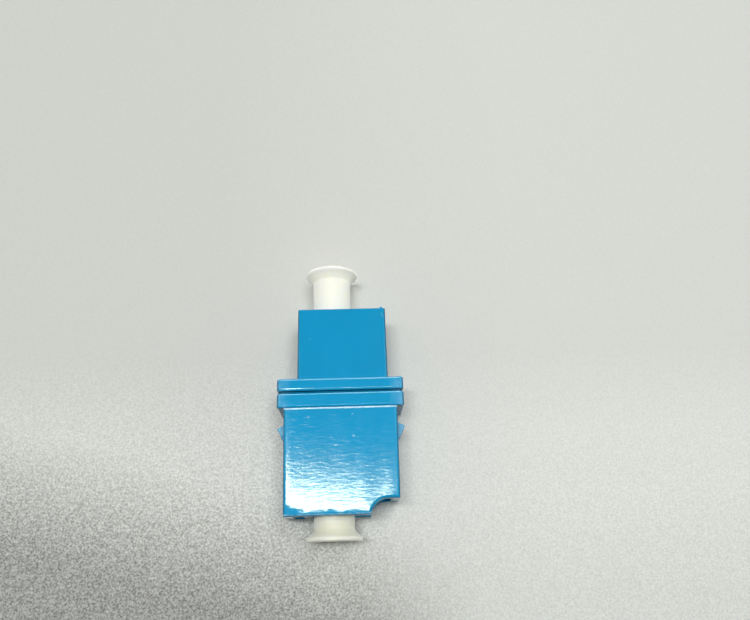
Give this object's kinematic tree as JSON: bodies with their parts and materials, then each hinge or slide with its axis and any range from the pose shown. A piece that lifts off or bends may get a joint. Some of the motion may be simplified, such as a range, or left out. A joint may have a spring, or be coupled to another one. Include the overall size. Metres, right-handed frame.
{
  "type": "lc fibre adapter",
  "caption": "Flat moulded coupler joining two latched fibre plugs end to end, with a mid flange, snap wings, a split sleeve inside and flared dust caps in its ports.",
  "frame": {"origin": "on the ferrule axis at the optical plane, the middle of the alignment sleeve's bore", "axes": "+Y along the ferrule axis out of the rear port (narrow half), +X to the latch side, +Z the short direction, up from the broad side that it lies on"},
  "size_m": [0.0147, 0.0322, 0.0068],
  "materials": {
    "housing": "glossy moulded thermoplastic, single-mode blue",
    "sleeve": "polished white zirconia",
    "dust_cap": "soft satin polyethylene, warm white"
  },
  "bodies": {
    "housing": {"front_housing": "housing", "rear_housing": "housing", "alignment_sleeve": "sleeve"},
    "rear_cap": {"rear_dust_cap": "dust_cap"},
    "front_cap": {"front_dust_cap": "dust_cap"}
  },
  "joints": [
    {"name": "rear_cap_pull", "type": "slide", "parent": "housing", "child": "rear_cap", "axis": [0, 1, 0], "range_m": [0, 0.01]},
    {"name": "front_cap_pull", "type": "slide", "parent": "housing", "child": "front_cap", "axis": [0, -1, 0], "range_m": [0, 0.013]}
  ]
}
